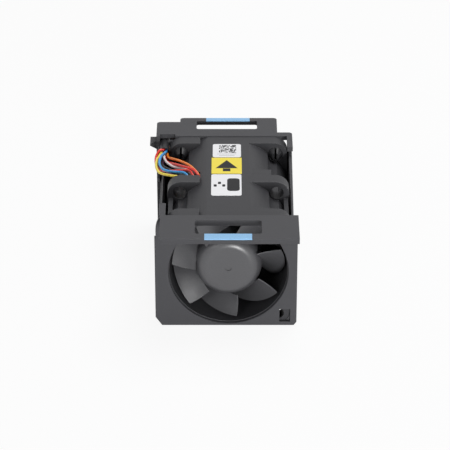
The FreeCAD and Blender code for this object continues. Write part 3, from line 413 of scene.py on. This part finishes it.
def inked(name, film):
    """Gives the flat ink its thickness and puts it on the module."""
    bmesh.ops.translate(film, verts=doubled(film), vec=(0, 0, INK_T))
    built(name, film, ink_black)


DOT_ROWS = 16
DOT_PITCH = 0.00036
DOT_FILL = 0.92
DOT_CHANCE = 0.6
BLOCK_X, BLOCK_Y = -0.0031, 0.0449
RULE_MIDDLE_X = -0.0005
RULE_WIDTH = 0.00012
RULES = ((0.0440, 0.0032), (0.0430, 0.0026))
dots = bmesh.new()
draw = random.Random(5)
for row in range(DOT_ROWS):
    for column in range(DOT_ROWS):
        if draw.random() < DOT_CHANCE:
            x = BLOCK_X + DOT_PITCH * column
            y = BLOCK_Y + DOT_PITCH * row
            patch(dots, x, x + DOT_PITCH * DOT_FILL, y, y + DOT_PITCH * DOT_FILL)
for y, half in RULES:
    patch(dots, RULE_MIDDLE_X - half, RULE_MIDDLE_X + half, y, y + RULE_WIDTH)
inked("rear_label_print", dots)

ARROW_X = -0.00055
HEAD_HALF, STEM_HALF = 0.00365, 0.00125
HEAD_Y0, HEAD_Y1 = 0.0338, 0.0396
STEM_Y0, STEM_Y1 = 0.0316, 0.0336
arrow = bmesh.new()
head = ((ARROW_X - HEAD_HALF, HEAD_Y0), (ARROW_X + HEAD_HALF, HEAD_Y0), (ARROW_X, HEAD_Y1))
arrow.faces.new([arrow.verts.new((x, y, LABEL_TOP)) for x, y in head])
patch(arrow, ARROW_X - STEM_HALF, ARROW_X + STEM_HALF, STEM_Y0, STEM_Y1)
inked("middle_label_print", arrow)

PLAIN_X0, PLAIN_X1 = -0.0004, 0.0037
PLAIN_Y0, PLAIN_Y1 = 0.0178, 0.0266
PLAIN_CORNER = 0.0012
BAR_WIDTH, BAR_LENGTH = 0.0010, 0.0016
BAR_CORNER = 0.0003
BAR_PLACES = ((-0.0048, 0.0208), (-0.0034, 0.0226), (-0.0020, 0.0208))
marks = bmesh.new()
patch(marks, PLAIN_X0, PLAIN_X1, PLAIN_Y0, PLAIN_Y1, PLAIN_CORNER)
for x, y in BAR_PLACES:
    patch(marks, x, x + BAR_WIDTH, y, y + BAR_LENGTH, BAR_CORNER)
inked("front_label_print", marks)

# Leads: stranded copper in coloured PVC, soldered to the motors' boards. They come out of the window
# in the second fan's tube, run round its ear and go down to the contacts of the socket.
LEAD_COLOURS = {
    "yellow_lead": (0.95, 0.74, 0.09),
    "blue_lead": (0.05, 0.34, 0.76),
    "red_lead": (0.78, 0.045, 0.03),
    "second_red_lead": (0.78, 0.045, 0.03),
    "purple_lead": (0.12, 0.04, 0.14),
    "black_lead": (0.012, 0.012, 0.014),
    "white_lead": (0.88, 0.78, 0.78),
    "orange_lead": (0.92, 0.24, 0.02)}
for node, colour in LEAD_COLOURS.items():
    dress(node, moulded(node.replace("_", " ") + " insulation", colour, roughness=0.28,
                        grain=0.0006, relief=0.05, patch=0.05))

# Cable sleeve: black heat-shrink tube drawn tight round the leads in the notch of the outlet panel.
# A short second tube is shrunk over its end and flares out under the hood.
SLEEVE_X, SLEEVE_Z = -0.02163, 0.03675
TAIL_SIDES = 32
TAIL_OUTSIDE = ((0.0581, 0.00166), (0.0594, 0.00172), (0.0602, 0.00184))
TAIL_INSIDE = ((0.0602, 0.0017), (0.0594, 0.0016), (0.0586, 0.00145))
TAIL_STEP = ((0.0586, 0.00163), (0.0581, 0.00163))
shrink_black = moulded("shrink sleeve", colour=(0.018, 0.018, 0.02), roughness=0.42,
                       grain=0.0005, relief=0.1, gloss=0.3)
dress("cable_sleeve", shrink_black)
tail = bmesh.new()
outline = [tail.verts.new((SLEEVE_X + radius, y, SLEEVE_Z))
           for y, radius in TAIL_OUTSIDE + TAIL_INSIDE + TAIL_STEP]
wall = [tail.edges.new(ends) for ends in zip(outline, outline[1:] + outline[:1])]
bmesh.ops.spin(tail, geom=outline + wall, cent=(SLEEVE_X, 0, SLEEVE_Z), axis=(0, 1, 0),
               angle=2 * math.pi, steps=TAIL_SIDES, use_merge=True)
for face in tail.faces:
    face.smooth = True
built("sleeve_tail", tail, shrink_black)

# Grommet: a curved lip of the housing's own plastic, pushed into the window of the second fan's tube
# beside the last lead to close it.
AXIS_Z = 0.020
GROMMET_X0, GROMMET_X1 = -0.0093, -0.0080
GROMMET_Y0, GROMMET_Y1 = 0.0301, 0.0335
GROMMET_R0, GROMMET_R1 = 0.0202, 0.02108
GROMMET_STEPS = 4
middle = Vector(((GROMMET_X0 + GROMMET_X1) / 2, (GROMMET_Y0 + GROMMET_Y1) / 2, AXIS_Z))
size = Matrix.Diagonal(((GROMMET_X1 - GROMMET_X0) / 2, (GROMMET_Y1 - GROMMET_Y0) / 2, 1, 1))
lip = bmesh.new()
bmesh.ops.create_grid(lip, x_segments=GROMMET_STEPS, y_segments=1, size=1,
                      matrix=Matrix.Translation(middle) @ size)
inner_side = lip.verts[:]
outer_side = doubled(lip)
for side, radius in ((inner_side, GROMMET_R0), (outer_side, GROMMET_R1)):
    for vert in side:
        vert.co.z = AXIS_Z + math.sqrt(radius ** 2 - vert.co.x ** 2)
for face in lip.faces:
    face.smooth = True
built("lead_grommet", lip, housing_plastic)

# Socket and push pins: the blind-mate socket is pale nylon, stood in its pocket in the outlet panel,
# and its contacts are stamped from brass. Black nylon pins with split barbs hold the second fan.
STREAKS = 900
STREAK_SPREAD = 0.3


def metal(name, colour, roughness, stretch):
    """Turned, drawn or stamped metal, with the fine rings that tools leave round the fan axis."""
    material, nodes, links, output = node_material(name)
    shader = nodes.new("ShaderNodeBsdfPrincipled")
    shader.inputs["Base Color"].default_value = (*colour, 1)
    shader.inputs["Metallic"].default_value = 1.0
    place = nodes.new("ShaderNodeTexCoord")
    drawn = nodes.new("ShaderNodeMapping")
    drawn.inputs["Scale"].default_value = (1, stretch, 1)
    streaks = nodes.new("ShaderNodeTexNoise")
    streaks.inputs["Scale"].default_value = STREAKS
    links.new(place.outputs["Object"], drawn.inputs["Vector"])
    links.new(drawn.outputs["Vector"], streaks.inputs["Vector"])
    dull = nodes.new("ShaderNodeMapRange")
    dull.inputs["To Min"].default_value = roughness * (1 - STREAK_SPREAD)
    dull.inputs["To Max"].default_value = roughness * (1 + STREAK_SPREAD)
    links.new(streaks.outputs["Fac"], dull.inputs["Value"])
    links.new(dull.outputs["Result"], shader.inputs["Roughness"])
    links.new(shader.outputs["BSDF"], output.inputs["Surface"])
    return material


dress("socket_body", moulded("socket nylon", colour=(0.78, 0.76, 0.70), roughness=0.45,
                             grain=0.0003, relief=0.1, patch=0.04))
dress("push_pins", moulded("pin nylon", colour=(0.018, 0.018, 0.02), roughness=0.42,
                           grain=0.0003, relief=0.1, gloss=0.35))
dress("socket_contacts", metal("contact brass", (0.80, 0.62, 0.28), roughness=0.25, stretch=5))

# Motors: a drawn steel yoke pressed in each hub, with a ferrite ring, round a laminated core wound
# with lacquered copper. The ground shaft runs in two bearings, held by a nylon washer and clip, and
# the board lies on the motor base.
steel = metal("drawn steel", (0.55, 0.55, 0.57), roughness=0.35, stretch=8)
ground_steel = metal("ground steel", (0.72, 0.72, 0.74), roughness=0.18, stretch=30)
laminations = metal("laminations", (0.35, 0.36, 0.38), roughness=0.45, stretch=40)
copper = metal("lacquered copper", (0.72, 0.32, 0.12), roughness=0.3, stretch=25)
ferrite = moulded("ferrite", colour=(0.03, 0.028, 0.028), roughness=0.7, grain=0.0003, relief=0.2)
nylon = moulded("washer nylon", colour=(0.7, 0.68, 0.6), roughness=0.4,
                grain=0.0004, relief=0.1, patch=0.04)
board_green = moulded("board lacquer", colour=(0.02, 0.16, 0.07), roughness=0.3,
                      grain=0.0005, relief=0.1)
for end in ("front_", "rear_"):
    dress(end + "yoke", steel)
    dress(end + "magnet", ferrite)
    dress(end + "shaft", ground_steel)
    dress(end + "bearings", ground_steel)
    dress(end + "shaft_clip", nylon)
    dress(end + "spacer_washer", nylon)
    dress(end + "stator_core", laminations)
    dress(end + "coils", copper)
    dress(end + "circuit_board", board_green)
